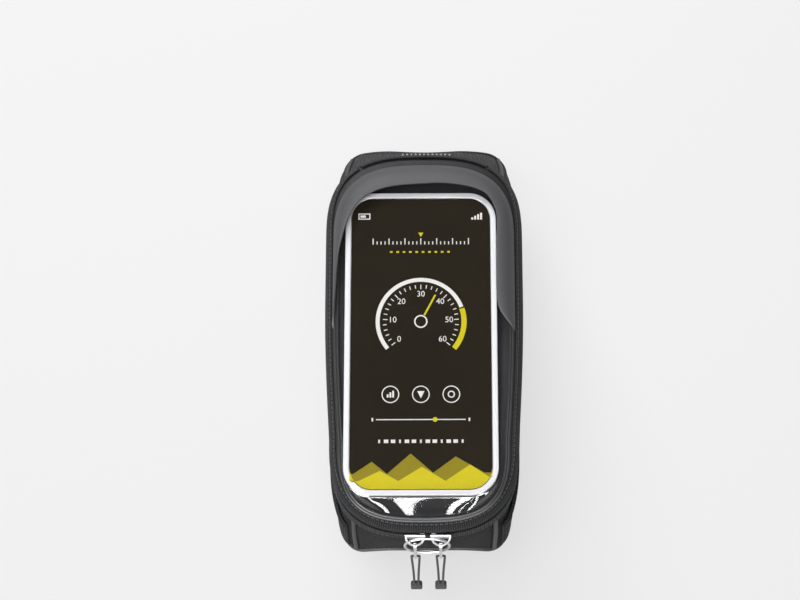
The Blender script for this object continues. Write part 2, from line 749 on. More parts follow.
# cords first, because they have rules of their own
def cord_route(cx):
    """The loop through a pull tab's hole, from one leg's end to the other's, in mm."""
    t = math.radians(TAB_TILT)
    hole = Vector((cx, BAIL_Y - TAB_LENGTH * math.sin(t), RIM_Z - TAB_LENGTH * math.cos(t)))
    g = CORD_GAP / 2
    leg = []
    for k in range(9):
        q = k / 8
        leg.append((g * (1.0 - 0.45 * smooth(q)), -CORD_OUT * q ** 1.6, -g - CORD_DROP * q))
    turn = [math.radians(a) for a in range(-75, 90, 15)]
    top = [(g * math.sin(a), 0.0, -g + g * math.cos(a)) for a in turn]
    return [hole + Vector(p) for p in [(-x, y, z) for x, y, z in leg[::-1]] + top + leg]


def cord_end(side, body):
    """The moulded end that grips both legs of a cord: a ribbed, rounded block."""
    low, high = node_box(side + "_cord_end")
    bpy.ops.mesh.primitive_cube_add(size=1.0)
    piece = bpy.context.object
    piece.name = side + "_cord_grip"
    size, middle = high - low, (low + high) / 2
    piece.data.transform(Matrix.Translation(middle * MM) @ Matrix.Diagonal((*(size * MM), 1.0)))
    with edit_mode(piece):
        bpy.ops.mesh.select_all(action="SELECT")
        for k in range(1, 8):
            bpy.ops.mesh.bisect(plane_co=(0, 0, (low.z + size.z * k / 8) * MM), plane_no=(0, 0, 1))
            bpy.ops.mesh.select_all(action="SELECT")
    for v in piece.data.vertices:
        step = round((v.co.z / MM - low.z) / size.z * 8)
        pinch = 0.86 if step in (3, 5) else 1.0
        upper = smooth((step - 5) / 3)
        v.co.x = middle.x * MM + (v.co.x - middle.x * MM) * pinch * lerp(1.0, 0.8, upper)
        v.co.y = middle.y * MM + (v.co.y - middle.y * MM) * pinch * lerp(1.0, 0.9, upper)
    bevelled(piece, 0.7, 3, 40.0)
    piece.data.materials.append(RUBBER)
    shaded(piece)
    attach(piece, body)
    stands_for(piece, "rubber_pad", side + "_cord_end")
    return piece


def make_cords():
    for side, cx in SLIDER_X.items():
        body = side + "_tab"
        route = cord_route(cx)
        grip = cord_end(side, body)
        fine = round_line(route, 4)
        piece = tube(side + "_cord_loop", fine, CORD_D / 2, body, CORD)
        stands_for(piece, "black_cord", side + "_pull_cord")


def round_line(points, times):
    """A smooth curve through the points, with some more points between them."""
    p = [Vector(q) for q in points]
    p = [p[0] * 2 - p[1]] + p + [p[-1] * 2 - p[-2]]
    out = []
    for i in range(1, len(p) - 2):
        for k in range(times):
            t = k / times
            a, b, c, d = p[i - 1], p[i], p[i + 1], p[i + 2]
            out.append(0.5 * ((2 * b) + (c - a) * t + (2 * a - 5 * b + 4 * c - d) * t * t
                              + (3 * b - a - 3 * c + d) * t ** 3))
    return out + [p[-2]]


make_cords()


# the bag's sewn body
PIPING_D = 2.4
SEAM_GAP = 0.7
WALL_TOP, WALL_FOOT = 2.6, 1.3
WALL_THICK = 2.0


def wall_height(s_top):
    s_low = float(np.interp(s_top, SEAMS_TOP, SEAMS_LOW))
    return RIM_Z - arch(BASE.at(s_low)[0])


def ripple(p, size, seed=0.0):
    """Soft unevenness of cloth, from -1 to 1, at a point in mm."""
    return noise.noise(Vector(p) / size + Vector((seed, 0.0, 0.0)))


def panel(name, span, drops, lift, thick, finish, columns, lines, tuck=0.9, wave=0.5, body="bag"):
    """A sewn panel from its lower edge up, drawn in towards its seams."""
    rows = []
    for j in range(lines + 1):
        row = []
        for i in range(columns + 1):
            s = lerp(span[0], span[1], i / columns)
            foot = drops[1] if drops[1] >= 0 else wall_height(s) + drops[1]
            drop = lerp(foot, drops[0], j / lines)
            edge = min((s - span[0]), (span[1] - s), drop - drops[0], foot - drop)
            in_by = tuck * (1.0 - smooth(edge / 3.5)) ** 2
            p = wall_point(s, drop, lift)
            swell = wave * ripple(p, 22.0) + 0.35 * wave * ripple(p, 7.0, 5.0)
            pucker = 0.3 * wave * math.sin(2 * math.pi * s / 5.2) * math.exp(-edge / 4.0)
            row.append(wall_point(s, drop, lift - in_by + (swell + pucker) * smooth(edge / 4.0)))
        rows.append(row)
    piece = cloth(name, rows, body, finish, thick, roll=0.25)
    return piece


def make_walls():
    drops = (WALL_TOP, -WALL_FOOT)
    spans = {
        "rear": (-rear_top + SEAM_GAP, rear_top - SEAM_GAP),
        "right_side": (rear_top + SEAM_GAP, front_top - SEAM_GAP),
        "left_side": (TOP - front_top + SEAM_GAP, TOP - rear_top - SEAM_GAP),
        "front": (front_top + SEAM_GAP, TOP - front_top - SEAM_GAP),
    }
    for label, span in spans.items():
        finish = MESH if label == "front" else FABRIC
        columns = int((span[1] - span[0]) / 1.1)
        wave = 0.2 if label == "rear" else 0.5
        wall = panel(label + "_wall", span, drops, 0.0, WALL_THICK, finish, columns, 44, wave=wave)
        stands_for(wall, "spacer_mesh" if label == "front" else "woven_fabric", label + "_panel")
    lines = []
    for label, span in spans.items():
        lines.append(wall_line(span[0] + 3.5, span[1] - 3.5, -(WALL_FOOT + 3.6), 0.05))
    stitches("wall_stitching", lines, "bag")


def make_pipings():
    drops = (9.4, -(PIPING_D + 0.5))
    seams = {"right_rear": rear_top, "left_rear": TOP - rear_top,
             "right_front": front_top, "left_front": TOP - front_top}
    for label, s in seams.items():
        foot = wall_height(s) + drops[1]
        line = [wall_point(s, lerp(drops[0], foot, k / 60), -0.1) for k in range(61)]
        piece = tube(label + "_seam_piping", line, PIPING_D / 2, "bag", PIPING, sides=14)
        stands_for(piece, "piping", label + "_piping")
    edge = []
    for k in range(320):
        x, y = BASE.at(LOW * k / 320, 0.8)
        edge.append((x, y, arch(x) + 0.2))
    piece = tube("lower_edge_piping", edge, PIPING_D / 2, "bag", PIPING, True, 14)
    stands_for(piece, "piping", "base_piping")


def make_base():
    """The arched floor of the bag, from its sewn edge in to its middle line."""
    rows = []
    for j in range(25):
        t = j / 24
        row = []
        for x, y, _ in BASE.ring(2.5, 0.0, 240):
            keel = min(max(y, TIP_Y + 40.0), NOSE_Y - 15.0)
            x, y = lerp(x, 0.0, t), lerp(y, keel, t)
            row.append((x, y, arch(x) + 0.12 * ripple((x, y, 0.0), 9.0)))
        rows.append(row[::-1])
    piece = cloth("base_floor", rows, "bag", FABRIC, 2.0, True)
    stands_for(piece, "woven_fabric", "base_panel")
    for name, finish in (("base_board", BOARD), ("grip_pad", RUBBER)):
        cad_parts[name].data.materials.clear()
        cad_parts[name].data.materials.append(finish)


def make_pockets():
    """Mesh pockets on both sides, slack at the bound upper edge."""
    for side in ("right", "left"):
        span = (rear_top + 3.0, lerp(rear_top, front_top, 0.545))
        if side == "left":
            span = (TOP - span[1], TOP - span[0])
        piece = panel(side + "_mesh_pocket", span, (24.0, -4.4), 1.6, 0.9, MESH, 100, 26, 0.5, 0.5)
        stands_for(piece, "spacer_mesh", side + "_side_pocket")
        rail = [wall_point(lerp(*span, k / 90), 22.6, 1.5) for k in range(91)]
        bound = tube(side + "_pocket_edge", rail, 1.0, "bag", TAPE, sides=14)
        stands_for(bound, "piping", side + "_pocket_binding")


# the zip
TAPE_THICK, TAPE_TOP, TAPE_HEIGHT, TAPE_LIFT, TAPE_CLEAR = 0.8, 1.9, 7.0, 1.3, 0.8
TAPE_END = hinge_top - TAPE_CLEAR
TAPE_STITCH_DROPS = (4.0, 7.6)
COIL_SIZE, COIL_DEPTH, COIL_IN, TOOTH_PITCH, TOOTH_WIDTH = 1.5, 2.2, 0.7, 1.5, 0.72
COIL_END = hinge_top - 1.5
SLIDER_MID_X = 1.7


def make_lower_tape():
    tape = panel("zip_tape_below", (-TAPE_END, TAPE_END), (TAPE_TOP, TAPE_TOP + TAPE_HEIGHT),
                 TAPE_LIFT, TAPE_THICK, TAPE, 380, 12, 0.0, 0.12)
    stands_for(tape, "zip_tape", "lower_zip_tape")
    rows = [wall_line(1 - TAPE_END, TAPE_END - 1, d, TAPE_LIFT + 0.05, 240) for d in TAPE_STITCH_DROPS]
    stitches("tape_stitching", rows, "bag", 2.4, 1.7, 0.36)


def parted(x):
    """How far each coil half stands off the parting line inside the sliders."""
    return 1.7 * (1.0 - smooth((abs(x - SLIDER_MID_X) - 5.9) / 3.7))


def make_coils():
    """Two rows of small teeth that mesh along the parting line."""
    count = int(2 * COIL_END / TOOTH_PITCH)
    for label, sign, body in (("lower", -1, "bag"), ("upper", 1, "lid")):
        bpy.ops.mesh.primitive_cube_add(size=1.0)
        model = bpy.context.object
        model.data.transform(Matrix.Diagonal((TOOTH_WIDTH * MM, COIL_DEPTH * MM, COIL_SIZE * MM, 1.0)))
        bevelled(model, 0.22, 2, 30.0)
        places = []
        for k in range(count):
            s = lerp(-COIL_END, COIL_END, (k + (0.5 if sign > 0 else 0.0)) / count)
            x, y = LID.at(s, COIL_IN + COIL_DEPTH / 2)
            ax, ay = LID.at(s + 0.5, COIL_IN)
            bx, by = LID.at(s - 0.5, COIL_IN)
            lift = parted(x) if y < LID_MID_Y else 0.0
            z = RIM_Z + sign * (COIL_SIZE / 2 + 0.12 * lift - 0.1)
            places.append(facing((x, y, z), (ax - bx, ay - by, 0.0), (0.0, 0.0, 1.0)))
        piece = copies(label + "_zip_teeth", model, places, body, COIL)
        stands_for(piece, "zip_coil", label + "_zip_coil")


# the lid's ring: woven tape over a moulded shell
TAPE_SECTION = [(0.7, 1.9), (0.35, 2.6), (0.0, 3.3), (-0.05, 4.1), (0.3, 4.8), (0.25, 6.0), (0.2, 7.6),
                (0.5, 9.2), (1.0, 10.7), (1.6, 12.0), (2.3, 13.0), (3.0, 13.8), (3.5, 14.1)]
SHELL_SECTION = [(1.95, 2.2), (1.3, 4.6), (1.3, 7.4), (2.1, 10.3), (3.0, 12.0), (4.1, LAND_Z)]
SHELL_INSIDE = [(5.4, LAND_Z - 1.5), (3.9, 9.4), (3.1, 7.0), (3.1, 2.2)]
SEAM_IN, SEAM_UP = 2.75, 13.62
HINGE_Y, HINGE_BEND = NOSE_Y, 2.5
PALE_ROW, PALE_ROW_DROP = (15.0, 13.0), 17.5


def lid_rows(section, s0, s1, count):
    return [[(*LID.at(lerp(s0, s1, k / count), i), RIM_Z + z) for k in range(count + 1)] for i, z in section]


def make_lid_ring():
    rows = lid_rows(TAPE_SECTION, -TAPE_END, TAPE_END, 420)
    tape = cloth("zip_tape_above", rows, "lid", LID_TAPE, 0.7, roll=0.2)
    stands_for(tape, "zip_tape", "upper_zip_tape")
    rows = [LID.ring(i, RIM_Z + z, 360) for i, z in SHELL_SECTION]
    rows += [WINDOW.ring(1.0, RIM_Z + LAND_Z, 360), WINDOW.ring(1.0, RIM_Z + LAND_Z - 1.5, 360)]
    rows += [LID.ring(i, RIM_Z + z, 360) for i, z in SHELL_INSIDE]
    shell = cloth("lid_ring", rows + rows[:1], "lid", SHELL, 0.0, True)
    stands_for(shell, "moulded_shell", "lid_shell")
    seam = []
    for k in range(301):
        s = lerp(1 - TAPE_END, TAPE_END - 1, k / 300)
        x, y = LID.at(s, SEAM_IN)
        ox, oy = LID.at(s, SEAM_IN - 1.0)
        seam.append(((x, y, RIM_Z + SEAM_UP), Vector(((ox - x) * 0.5, (oy - y) * 0.5, 0.85)).normalized()))
    stitches("lid_stitching", [seam], "lid", 2.4, 1.7, 0.4)


def make_hinge():
    """The woven strip at the front that the lid bends on, from the bag's wall up over the lid."""
    s0, s1 = hinge_top + TAPE_CLEAR, TOP - hinge_top - TAPE_CLEAR
    rows = [[wall_point(lerp(s0, s1, k / 90), d, TAPE_LIFT) for k in range(91)]
            for d in np.linspace(TAPE_TOP + TAPE_HEIGHT, 0.6, 9)]
    rows += lid_rows([(-0.1, 0.6)] + TAPE_SECTION, s0, s1, 90)
    piece = cloth("hinge_cloth", rows, None, TAPE, 0.7, roll=0.2)
    stands_for(piece, "zip_tape", "hinge_strip", "lid_hinge_strip")
    seam = wall_line(TOP / 2 - PALE_ROW[0], TOP / 2 + PALE_ROW[1], PALE_ROW_DROP, 0.6)
    stitches("hinge_stitching", [seam], "bag", 2.2, 1.3, 3.6, PALE_THREAD)
    low, high = [(0.0, HINGE_Y * MM, (RIM_Z + bend) * MM) for bend in (-HINGE_BEND, HINGE_BEND)]
    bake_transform(piece, "bag", "lid", start=low, end=high)


# window: film, its piping, and the visor
FILM_THICK, FILM_TOP, FILM_SWEEP = 0.5, 20.0, 1.45
FILM_EDGE_OUT, FILM_FOOT_IN, FILM_CREST_OUT = 0.6, 0.75, 0.85
RIM_ROWS, RIM_R, RIM_RISE = (-0.95, 0.2), 0.62, 0.9
FILM_Z = LAND_Z + 0.3 + FILM_THICK
PHONE_MID_Y = (PHONE_LOW.y + PHONE_HIGH.y) / 2
PHONE_HALF = ((PHONE_HIGH.x - PHONE_LOW.x) / 2, (PHONE_HIGH.y - PHONE_LOW.y) / 2)
PHONE_TOP = PHONE_HIGH.z
INSERT_X = -1.5
PHONE_RADIUS, BEZEL = 14.0, 2.9
GLASS_GAP, GLASS_THICK, GLASS_SUNK = 0.2, 0.8, 0.05
INK_THICK, INK_SUNK, INK_RISE = 0.012, 0.03, 0.035
INK_EDGE = 0.35


def phone_ring(grow, count):
    """Points spread evenly round the insert, from the middle of its rear end."""
    w, l = PHONE_HALF[0] + grow, PHONE_HALF[1] + grow
    r = PHONE_RADIUS + grow
    line = [(0.0, -l)]
    for cx, cy, a in ((w - r, -l + r, -90), (w - r, l - r, 0), (-w + r, l - r, 90), (-w + r, -l + r, 180)):
        line += arc(cx, cy, r, a, a + 90, 24)
    pts = np.array(line + line[:1])
    s = np.concatenate([[0.0], np.cumsum(np.linalg.norm(np.diff(pts, axis=0), axis=1))])
    at = np.arange(count) / count * s[-1]
    return [(float(np.interp(a, s, pts[:, 0])) + INSERT_X, float(np.interp(a, s, pts[:, 1])) + PHONE_MID_Y)
            for a in at]


def make_film():
    """Clear sheet: flat under the piping, stretched up round the insert, nearly level over it."""
    count = 400
    rows = [WINDOW.ring(-FILM_EDGE_OUT, RIM_Z + FILM_Z, count)]
    foot = WINDOW.ring(FILM_FOOT_IN, RIM_Z + FILM_Z, count)
    crest = phone_ring(FILM_CREST_OUT, count)
    for j in range(19):
        t = j / 18
        row = []
        for k in range(count):
            x, y = lerp(foot[k][0], crest[k][0], t), lerp(foot[k][1], crest[k][1], t)
            swing = 0.02 * math.sin(math.pi * t) * math.sin(x * 0.3 + 0.6)
            row.append((x, y, RIM_Z + lerp(FILM_Z, FILM_TOP, 1.0 - (1.0 - t) ** FILM_SWEEP) + swing))
        rows.append(row)
    for j in range(1, 16):
        q = j / 16 * 0.985
        row = []
        for x, y in crest:
            dip = 0.1 * abs(ripple((x * (1 - q), y * (1 - q), 0), 30.0))
            row.append((lerp(x, INSERT_X, q), lerp(y, PHONE_MID_Y, q), RIM_Z + FILM_TOP - dip))
        rows.append(row)
    film = cloth("clear_window", rows, "lid", FILM, 0.35, True, capped=True)
    stands_for(film, "clear_film", "window_film")
    lines = [WINDOW.ring(inset, RIM_Z + FILM_Z + RIM_RISE, 360) for inset in RIM_ROWS]
    rim, inner = [tube("window_edge_piping", line, RIM_R, None, RIM, True, 14) for line in lines]
    rim = joined(rim, inner)
    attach(rim, "lid")
    stands_for(rim, "piping", "window_piping")


# rows are (y from the lid's middle, reach in from the piping's line, rise over the land)
VISOR_RIGHT = [(2.0, -1.85, 1.0), (4.6, 0.8, 6.2), (7.2, 3.4, 7.6), (9.8, 5.2, 8.2), (12.5, 6.5, 8.6),
               (16.0, 7.1, 9.0), (24.0, 7.4, 9.3), (48.0, 7.2, 10.0), (62.0, 6.2, 10.4), (76.0, 7.2, 11.0),
               (86.0, 10.2, 11.2), (98.0, 10.7, 11.2)]
VISOR_LEFT = [(3.5, -1.85, 1.0), (6.0, -1.9, 3.2), (12.0, -1.3, 5.0), (22.0, -0.5, 7.0), (33.0, 0.15, 8.6),
              (42.0, 1.1, 9.6), (55.0, 4.2, 10.4), (70.0, 8.0, 10.9), (80.0, 10.6, 11.1),
              (86.0, 11.2, 11.2), (98.0, 10.7, 11.2)]
VISOR_THICK, VISOR_OUT, VISOR_OUT_FRONT = 0.8, 1.85, 1.9
VISOR_STATIONS, VISOR_EASE, VISOR_ENDS = 300, 13, 8.0


def visor_edge(s):
    """How far the visor's free edge reaches in and rises here."""
    x, y = WINDOW.at(s)
    right = smooth((x + 12.0) / 24.0)
    sides = []
    for table in (np.array(VISOR_LEFT), np.array(VISOR_RIGHT)):
        sides.append([float(np.interp(y - LID_MID_Y, table[:, 0], table[:, k])) for k in (1, 2)])
    return tuple(lerp(a, b, right) for a, b in zip(*sides))


def make_visor():
    start = WINDOW.where_y(VISOR_RIGHT[0][0] + LID_MID_Y, True)
    end = WINDOW.where_y(VISOR_LEFT[0][0] + LID_MID_Y, False)
    stations = np.linspace(start, end, VISOR_STATIONS)
    edges = np.array([visor_edge(s) for s in stations])
    kernel = np.hanning(VISOR_EASE) / np.hanning(VISOR_EASE).sum()
    padded = np.pad(edges, ((VISOR_EASE // 2, VISOR_EASE // 2), (0, 0)), mode="edge")
    soft = np.stack([np.convolve(padded[:, k], kernel, "valid") for k in (0, 1)], axis=1)
    from_start = np.arange(VISOR_STATIONS)
    from_end = from_start[::-1]
    blend = np.clip(np.minimum(from_start, from_end) / VISOR_ENDS, 0, 1)[:, None]
    edges = edges * (1 - blend) + soft * blend
    rows = []
    for j in range(19):
        t = j / 18
        row = []
        for s, (reach, up) in zip(stations, edges):
            mid = smooth((WINDOW.at(s)[1] - LID_MID_Y - 40.0) / 30.0)
            x, y = WINDOW.at(s, lerp(-lerp(VISOR_OUT, VISOR_OUT_FRONT, mid), reach, t ** 2.0))
            lift = up * math.sin(t * math.pi / 2.2) / math.sin(math.pi / 2.2)
            row.append((x, y, RIM_Z + LAND_Z + 0.35 + lift + 0.12 * t * ripple((x, y, 0.0), 16.0)))
        rows.append(row)
    visor = cloth("sun_visor", rows, "lid", VISOR, 0.0)
    thickened(visor, VISOR_THICK, 0.25, 3)
    stands_for(visor, "visor_sheet", "visor")


# the insert and its printed display
def slab(name, half, radius, low, high, body, finish):
    """A plate with rounded corners, level, about the insert's middle."""
    bpy.ops.mesh.primitive_cube_add(size=1.0)
    piece = bpy.context.object
    piece.name = name
    middle = Vector((INSERT_X, PHONE_MID_Y, (low + high) / 2)) * MM
    size = Vector((2 * half[0], 2 * half[1], high - low)) * MM
    piece.data.transform(Matrix.Translation(middle) @ Matrix.Diagonal((*size, 1.0)))
    with editing(piece, "EDGE") as mesh:
        for edge in mesh.edges:
            edge.select_set(abs(edge.verts[0].co.z - edge.verts[1].co.z) > 1e-6)
    with edit_mode(piece):
        bpy.ops.mesh.bevel(offset=radius * MM, offset_type="OFFSET", segments=24, affect="EDGES")
    piece.data.materials.append(finish)
    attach(piece, body)
    return piece


def make_insert():
    case = slab("display_case", PHONE_HALF, PHONE_RADIUS, PHONE_LOW.z, PHONE_TOP, "lid", WHITE)
    with editing(case, "FACE") as mesh:
        for face in mesh.faces:
            face.select_set(face.normal.z > 0.9)
    with edit_mode(case):
        bpy.ops.mesh.inset(thickness=BEZEL * MM)
        bpy.ops.mesh.extrude_region_move(TRANSFORM_OT_translate={"value": (0.0, 0.0, -1.15 * MM)})
    bevelled(case, 0.6, 4, 50.0)
    shaded(case)
    stands_for(case, "white_frame", "insert_frame")
    edge, top = BEZEL + GLASS_GAP, PHONE_TOP - GLASS_SUNK
    half = (PHONE_HALF[0] - edge, PHONE_HALF[1] - edge)
    glass = slab("display_glass", half, PHONE_RADIUS - edge, top - GLASS_THICK, top, "lid", GLASS)
    bevelled(glass, 0.2, 2, 50.0)
    with editing(glass, "FACE") as mesh:
        max(mesh.faces, key=lambda face: face.calc_center_median().z).select_set(True)
    with edit_mode(glass):
        bpy.ops.mesh.inset(thickness=0.25 * MM)
    shaded(glass)
    stands_for(glass, "dark_screen", "insert_screen")


def printed(name, data, place, finish):
    """A flat curve or a text made a mesh on the glass, its place from the insert's middle."""
    guide = bpy.data.objects.new(name, data)
    SCENE.collection.objects.link(guide)
    bpy.context.view_layer.update()
    mesh = bpy.data.meshes.new_from_object(guide.evaluated_get(bpy.context.evaluated_depsgraph_get()))
    bpy.data.objects.remove(guide)
    middle = Vector((INSERT_X, PHONE_MID_Y, PHONE_TOP - INK_SUNK))
    mesh.transform(Matrix.Translation((middle + Vector(place)) * MM))
    mesh.materials.clear()
    piece = add(name, mesh, "lid", finish)
    return piece


def inked(name, outlines, finish, layer=0):
    """Flat printed shapes on the glass; each item is (outline, its holes), in mm from the insert's middle."""
    data = bpy.data.curves.new(name, "CURVE")
    data.dimensions = "2D"
    data.fill_mode = "BOTH"
    data.extrude = INK_THICK * MM
    for line in outlines:
        spline = data.splines.new("POLY")
        spline.points.add(len(line) - 1)
        for point, (x, y) in zip(spline.points, line):
            point.co = (x * MM, y * MM, 0.0, 1.0)
        spline.use_cyclic_u = True
    piece = printed(name, data, (0.0, 0.0, INK_RISE * layer), finish)
    with welded(piece.data, 1e-8):
        pass


def band(cx, cy, r, wide, start, end, steps=60):
    """A curved band from one angle to another, or a whole ring as two outlines."""
    if abs(end - start) >= 360:
        return [arc(cx, cy, r + wide / 2, 0, 360, steps)[:-1], arc(cx, cy, r - wide / 2, 0, 360, steps)[:-1]]
    return [arc(cx, cy, r + wide / 2, start, end, steps) + arc(cx, cy, r - wide / 2, start, end, steps)[::-1]]


def bar(x0, y0, x1, y1):
    return [(x0, y0), (x1, y0), (x1, y1), (x0, y1)]


def tick(cx, cy, r0, r1, angle, wide):
    """A short straight mark that points to a centre."""
    a = math.radians(angle)
    c, s = math.cos(a), math.sin(a)
    w = wide / 2
    return [(cx + r0 * c - w * s, cy + r0 * s + w * c), (cx + r0 * c + w * s, cy + r0 * s - w * c),
            (cx + r1 * c + w * s, cy + r1 * s - w * c), (cx + r1 * c - w * s, cy + r1 * s + w * c)]


DIAL = (0.0, 10.0)
DIAL_R, NUMBER_R, NUMBER_TALL = 21.5, 14.1, 4.2
DIAL_FROM, DIAL_TO = 220.0, -40.0


def dial_numbers():
    """Plain numbers round the dial, every ten."""
    for k in range(7):
        a = math.radians(lerp(DIAL_FROM, DIAL_TO, k / 6))
        data = bpy.data.curves.new("number", "FONT")
        data.body = str(10 * k)
        data.size = NUMBER_TALL * MM
        data.align_x, data.align_y = "CENTER", "CENTER"
        data.extrude = INK_THICK * MM
        data.resolution_u = 3
        place = (DIAL[0] + NUMBER_R * math.cos(a), DIAL[1] + NUMBER_R * math.sin(a), 0.0)
        printed("dial_number_%d" % (10 * k), data, place, INK_WHITE)


def peaks(ridge):
    """A jagged ridge from edge to edge of the glass, filled down to its rounded corners."""
    w, l, r = (size - BEZEL - INK_EDGE for size in (*PHONE_HALF, PHONE_RADIUS))
    foot = arc(w - r, r - l, r, 0, -90, 12) + arc(r - w, r - l, r, -90, -180, 12)
    return [(-w, ridge[0][1])] + ridge + [(w, ridge[-1][1])] + foot


def make_print():
    cx, cy = DIAL
    white = band(cx, cy, DIAL_R, 2.0, DIAL_FROM, 20.0)
    for k in range(31):
        reach = 4.4 if k % 5 else 4.9
        white.append(tick(cx, cy, DIAL_R - reach, DIAL_R - 2.6, lerp(DIAL_FROM, DIAL_TO, k / 30), 0.45))
    white += band(cx, cy, 3.0, 0.7, 0, 360, 32)
    for k in range(25):
        tall = 3.2 if k % 4 == 0 else 1.6
        white.append(bar(-24.0 + 2.0 * k - 0.25, 50.0, -24.0 + 2.0 * k + 0.25, 50.0 + tall))
    for k in range(4):
        white.append(bar(25.5 + 1.5 * k, 63.0, 26.5 + 1.5 * k, 64.2 + 0.8 * k))
    white += [bar(-31.5, 63.2, -25.5, 63.7), bar(-31.5, 65.9, -25.5, 66.4), bar(-31.5, 63.7, -31.0, 65.9),
              bar(-26.0, 63.7, -25.5, 65.9), bar(-30.5, 64.2, -27.8, 65.4)]
    for x in (-15.0, 0.0, 15.0):
        white += band(x, -27.0, 4.1, 0.5, 0, 360, 40)
    white += [[(-1.8, -25.4), (1.8, -25.4), (0.0, -29.0)]]
    for k, top in enumerate((-27.0, -26.0, -25.2)):
        white.append(bar(-16.8 + 1.35 * k, -28.6, -15.9 + 1.35 * k, top))
    white += band(15.0, -27.0, 1.5, 0.6, 0, 360, 24)
    white += [bar(-22.0, -39.9, 22.0, -39.4), bar(-24.2, -40.5, -23.4, -38.8), bar(23.4, -40.5, 24.2, -38.8)]
    for k in range(13):
        x = -20.4 + 3.4 * k
        white.append(bar(x - (1.1 if k % 3 else 0.45), -51.3, x + (1.1 if k % 3 else 0.45), -49.6))
    inked("display_lines", white, INK_WHITE)
    yellow = band(cx, cy, DIAL_R, 2.6, 18.0, DIAL_TO)
    yellow += [tick(cx, cy, 3.6, DIAL_R - 6.0, 62.0, 0.9)]
    yellow += [[(-1.3, 56.2), (1.3, 56.2), (0.0, 54.0)]]
    yellow += [bar(-15.5 + 3.2 * k, 45.6, -14.2 + 3.2 * k, 46.5) for k in range(10)]
    yellow += [arc(7.0, -39.65, 1.2, 0, 360, 24)[:-1]]
    inked("display_marks", yellow, INK_YELLOW, 1)
    far = [(-33.0, -66.5), (-24.0, -60.5), (-16.5, -66.5), (-5.0, -56.5),
           (6.0, -66.0), (17.0, -58.0), (31.0, -66.0)]
    near = [(-30.5, -70.0), (-20.0, -65.0), (-11.0, -70.0), (0.5, -63.0),
            (12.0, -70.0), (24.0, -62.0), (33.0, -68.0)]
    inked("display_far_peaks", [peaks(far)], INK_OLIVE)
    inked("display_near_peaks", [peaks(near)], INK_YELLOW, 1)
    dial_numbers()


PILE_PITCH = 1.5


def make_pocket():
    """What lies behind the insert: foam, the pocket's back and its closure strips."""
    low, high = node_box("foam_pad")
    half = ((high.x - low.x) / 2, (high.y - low.y) / 2)
    pad = slab("foam_cushion", half, 6.0, low.z, high.z, "lid", FOAM)
    with editing(pad, "FACE") as mesh:
        for face in mesh.faces:
            face.select_set(abs(face.normal.z) > 0.9)
    with edit_mode(pad):
        bpy.ops.mesh.inset(thickness=1.6 * MM, depth=0.0)
    for v in pad.data.vertices:
        beyond_x = abs(v.co.x - INSERT_X * MM) > (half[0] - 0.5) * MM
        if beyond_x or abs(v.co.y - PHONE_MID_Y * MM) > (half[1] - 0.5) * MM:
            v.co.z = lerp(v.co.z, (low.z + high.z) / 2 * MM, 0.35)
    shaded(pad, 60.0)
    stands_for(pad, "foam", "foam_pad")
    low, high = node_box("pocket_back")
    floor = low.z + 0.95
    section = ((0.7, high.z), (2.0, high.z - 0.05), (3.2, high.z - 0.2),
               (4.6, floor + 0.35), (5.8, floor), (7.5, floor))
    rows = [WINDOW.ring(inset, z, 300)[::-1] for inset, z in section]
    rim = rows[-1]
    for j in range(1, 12):
        q = j / 11 * 0.985
        row = []
        for x, y, z in rim:
            uneven = 0.06 * ripple((x * (1 - q), y, 0.0), 14.0)
            row.append((lerp(x, 0.0, q), lerp(y, PHONE_MID_Y, q), z + uneven))
        rows.append(row)
    back = cloth("pocket_lining", [row[::-1] for row in rows], "lid", LINING, 0.8, True, capped=True)
    stands_for(back, "woven_fabric", "pocket_back")
    for node in ("pocket_loop_strip", "pocket_hook_strip"):
        softened(node, node + "_band", "lid", WEB_FLAT, 0.0, "webbing")
        low, high = node_box(node)
        bpy.ops.mesh.primitive_cone_add(vertices=5, radius1=0.32 * MM, radius2=0.12 * MM, depth=0.5 * MM)
        model = bpy.context.object
        across, along = (int((size - 2) / PILE_PITCH) for size in (high.x - low.x, high.y - low.y))
        places = []
        for j in range(along):
            for i in range(across):
                at = (low.x + PILE_PITCH * (i + 1), low.y + PILE_PITCH * (j + 1), low.z + 0.1)
                places.append(Matrix.Translation(Vector(at) * MM) @ Matrix.Rotation(math.pi, 4, "X"))
        copies(node + "_pile", model, places, "lid", WEB_FLAT)


# metal
def make_metal():
    for side in SLIDER_X:
        softened(side + "_slider", side + "_slider_body", side + "_slider", METAL, 0.0, "zinc_plate")
        softened(side + "_pull_tab", side + "_tab_bar", side + "_tab", METAL, 0.3, "zinc_plate")
    low, high = node_box("link_ring")
    middle, size = (low + high) / 2, high - low
    radius = (size.x - RING_WIRE) / 2
    bpy.ops.mesh.primitive_torus_add(major_segments=96, minor_segments=18, major_radius=radius * MM,
                                     minor_radius=RING_WIRE / 2 * MM)
    ring = bpy.context.object
    ring.name = "wire_ring"
    turn = Matrix.Rotation(math.radians(90.0 - RING_TILT), 4, "X")
    ring.data.transform(Matrix.Translation(middle * MM) @ turn)
    ring.data.materials.append(METAL)
    shaded(ring)
    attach(ring, "bag")
    stands_for(ring, "zinc_plate", "link_ring")


# straps
STRAP_WIDTH, STRAP_THICK, LOOP_R, LOOP_GAP = 20.0, 1.4, 19.0, 0.3
STRAP_Y = {"rear_strap": -62.0, "front_strap": 66.0}


